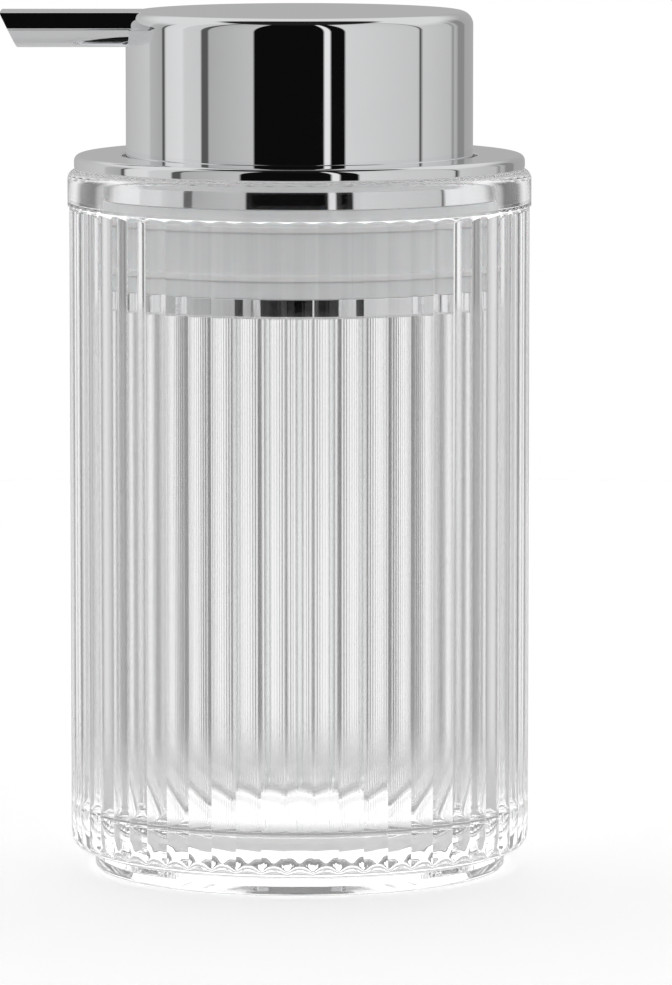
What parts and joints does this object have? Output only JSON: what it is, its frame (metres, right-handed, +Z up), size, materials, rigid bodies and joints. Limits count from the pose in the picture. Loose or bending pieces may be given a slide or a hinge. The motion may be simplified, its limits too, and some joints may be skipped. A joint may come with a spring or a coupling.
{
  "type": "soap pump dispenser",
  "caption": "Fluted clear glass jar with a push-in plated collar, silicone seal and a hand pump pressed down by a large round head with a flat side spout.",
  "frame": {"origin": "centre of the jar's foot, on the surface it stands on", "axes": "+Z up along the jar's axis; the spout points to -X when the head is at rest; +Y is to the left of someone looking along +X"},
  "size_m": [0.09, 0.0788, 0.1462],
  "materials": {
    "clear_glass": "clear polished glass, moulded flutes",
    "chrome_plate": "mirror-bright plated plastic",
    "silicone": "translucent grey-white silicone",
    "wiper_rubber": "dark rubber",
    "white_plastic": "moulded white plastic",
    "natural_plastic": "moulded natural plastic, slightly translucent",
    "clear_tube": "clear extruded tube",
    "spring_steel": "drawn stainless wire",
    "ball_steel": "polished stainless ball"
  },
  "bodies": {
    "jar": {"glass_jar": "clear_glass"},
    "lid": {"lid_collar": "chrome_plate", "seal_sleeve": "silicone", "guide_ring": "white_plastic", "pump_mount": "white_plastic", "mount_gasket": "silicone", "pump_housing": "natural_plastic", "housing_gasket": "silicone", "lock_ring": "white_plastic", "stem_guide": "white_plastic", "stem_wiper": "wiper_rubber", "return_spring": "spring_steel", "ball_cage": "natural_plastic", "dip_tube": "clear_tube"},
    "plunger": {"piston": "natural_plastic"},
    "head": {"piston_stem": "natural_plastic", "head_core": "white_plastic", "head_shell": "chrome_plate", "spout_liner": "white_plastic"},
    "inlet_valve": {"inlet_ball": "ball_steel"},
    "outlet_valve": {"outlet_ball": "ball_steel"}
  },
  "joints": [
    {"name": "lid_lift", "type": "slide", "parent": "jar", "child": "lid", "axis": [0, 0, 1], "range_m": [0, 0.112]},
    {"name": "head_press", "type": "slide", "parent": "lid", "child": "plunger", "axis": [0, 0, -1], "range_m": [0, 0.007], "stiffness_N_per_m": 1500, "springref_m": -0.006, "deforming": ["return_spring"]},
    {"name": "head_swivel", "type": "hinge", "parent": "plunger", "child": "head", "pos_m": [0, 0, 0.13], "axis": [0, 0, 1], "continuous": true},
    {"name": "inlet_ball_lift", "type": "slide", "parent": "lid", "child": "inlet_valve", "axis": [0, 0, 1], "range_m": [0, 0.001]},
    {"name": "outlet_ball_lift", "type": "slide", "parent": "head", "child": "outlet_valve", "axis": [0, 0, 1], "range_m": [0, 0.001]}
  ]
}
